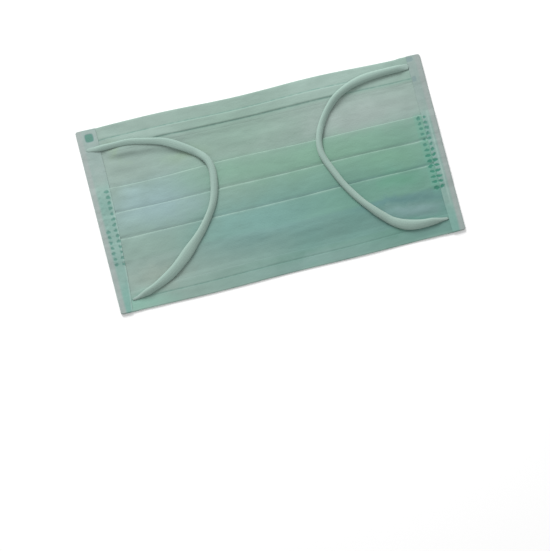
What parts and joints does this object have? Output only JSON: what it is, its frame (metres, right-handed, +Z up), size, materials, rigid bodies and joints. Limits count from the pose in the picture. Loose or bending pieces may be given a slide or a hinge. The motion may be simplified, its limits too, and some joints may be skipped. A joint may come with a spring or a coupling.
{
  "type": "surgical face mask",
  "caption": "Flat-folded pleated face mask lying inner side up, with hems, a nose wire channel, dot-welded side strips and loose elastic ear loops.",
  "frame": {"origin": "on the surface that the mask lies on, under the middle of its outline", "axes": "+X along the width, towards the wearer's right as the inner side is seen with the nose edge up; +Y towards the nose edge; +Z up out of the inner side"},
  "size_m": [0.175, 0.097, 0.0084],
  "materials": {
    "laminate": "matt spunbond nonwoven, pale grey-green inside and mint green outside",
    "strip": "matt spunbond nonwoven with weld dots",
    "elastic": "matt knitted elastic",
    "wire": "satin plastic round a soft wire"
  },
  "bodies": {
    "root": {"pleated_body": "laminate", "nose_wire": "wire", "side_strip_left": "strip", "side_strip_right": "strip", "ear_loop_left": "elastic", "ear_loop_right": "elastic"}
  },
  "joints": []
}
